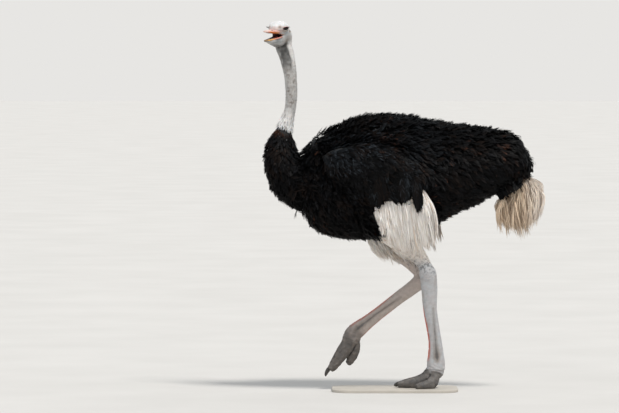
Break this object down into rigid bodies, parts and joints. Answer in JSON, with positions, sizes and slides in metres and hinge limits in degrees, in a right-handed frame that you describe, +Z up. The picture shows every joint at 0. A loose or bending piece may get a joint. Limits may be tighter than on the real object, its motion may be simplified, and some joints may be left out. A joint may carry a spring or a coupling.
{
  "type": "ostrich",
  "caption": "Life-size still model of a male ostrich that walks on one leg, the other lifted, with its head turned and bill open, on a low flat base",
  "frame": {"origin": "on the floor, under the middle of the model's bounding box", "axes": "+Z up, the bird faces -Y, its left side is +X, millimetres in the STEP files"},
  "size_m": [0.6116, 1.4853, 1.9379],
  "materials": {
    "black_feather": "matte; black contour feathers with rust-brown fringes",
    "white_plume": "matte; soft white plumes",
    "tail_plume": "matte; cream and brown drooping plumes",
    "downy_skin": "satin; pale skin under short down",
    "leg_skin": "satin; scaled grey-pink skin",
    "foot_skin": "satin; dark wrinkled pads",
    "bill": "semi-gloss horn",
    "eye": "wet gloss",
    "claw": "semi-gloss horn",
    "base_paint": "matte paint"
  },
  "bodies": {
    "root": {"trunk": "black_feather", "neck_lower": "black_feather", "wing_left": "black_feather", "wing_right": "black_feather", "wing_plumes_left": "white_plume", "wing_plumes_right": "white_plume", "tail": "tail_plume", "head": "downy_skin", "neck_upper": "downy_skin", "eye_left": "eye", "eye_right": "eye", "bill_upper": "bill", "bill_lower": "bill", "shank_left": "leg_skin", "shank_right": "leg_skin", "tarsus_left": "leg_skin", "tarsus_right": "leg_skin", "toe_inner_left": "foot_skin", "toe_inner_right": "foot_skin", "toe_outer_left": "foot_skin", "toe_outer_right": "foot_skin", "claw_left": "claw", "claw_right": "claw", "stand_base": "base_paint"}
  },
  "joints": []
}
